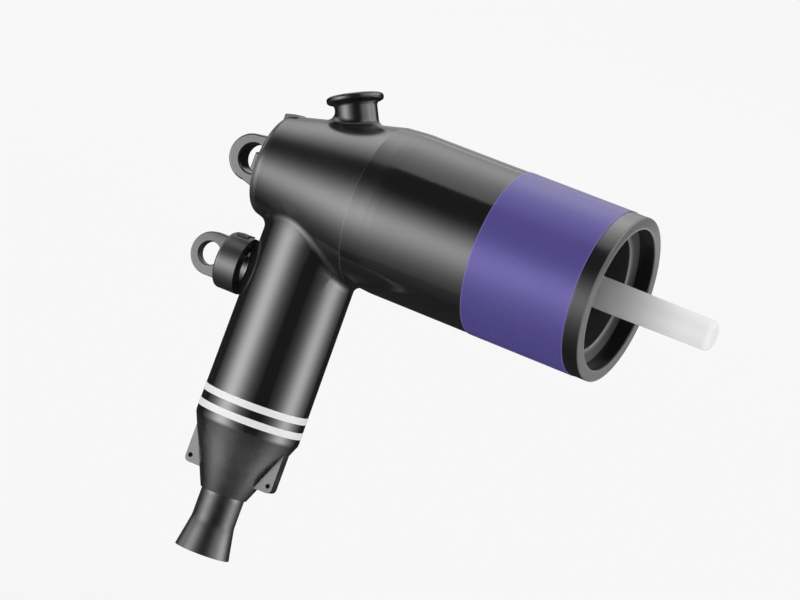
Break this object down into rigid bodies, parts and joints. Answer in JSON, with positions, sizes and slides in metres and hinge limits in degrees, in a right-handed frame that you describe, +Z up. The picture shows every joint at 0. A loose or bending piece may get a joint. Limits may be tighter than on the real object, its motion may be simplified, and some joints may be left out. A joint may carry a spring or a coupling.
{
  "type": "separable elbow connector",
  "caption": "Moulded rubber cable elbow with a cuffed mouth, contact probe, cable leg, pulling eye, capped test point, earthing tabs and a coloured band.",
  "frame": {"origin": "middle of the mouth's rim, in the plane of the cuff's end face", "axes": "+X out of the mouth along the arm and the contact probe, +Z up, the cable leg down along -Z, +Y across the elbow"},
  "size_m": [0.2733, 0.0864, 0.2466],
  "materials": {
    "jacket_rubber": "satin",
    "insulation_rubber": "satin",
    "insert_rubber": "matt",
    "purple_band": "satin",
    "white_mark": "matt",
    "steel_strap": "plain",
    "copper": "machined",
    "aluminium": "machined",
    "tinned_copper": "tin plated",
    "glass_fibre": "plain",
    "follower_plastic": "milky, slightly translucent",
    "cap_rubber": "satin"
  },
  "bodies": {
    "root": {"outer_shield": "jacket_rubber", "insulation": "insulation_rubber", "inner_shield": "insert_rubber", "voltage_band": "purple_band", "upper_leg_mark": "white_mark", "lower_leg_mark": "white_mark", "pulling_eye_strap": "steel_strap", "connector_lug": "copper", "connector_barrel": "aluminium", "contact_probe": "tinned_copper", "reinforcing_pin": "glass_fibre", "arc_follower": "follower_plastic", "test_point_electrode": "tinned_copper", "test_point_cap": "cap_rubber"}
  },
  "joints": []
}
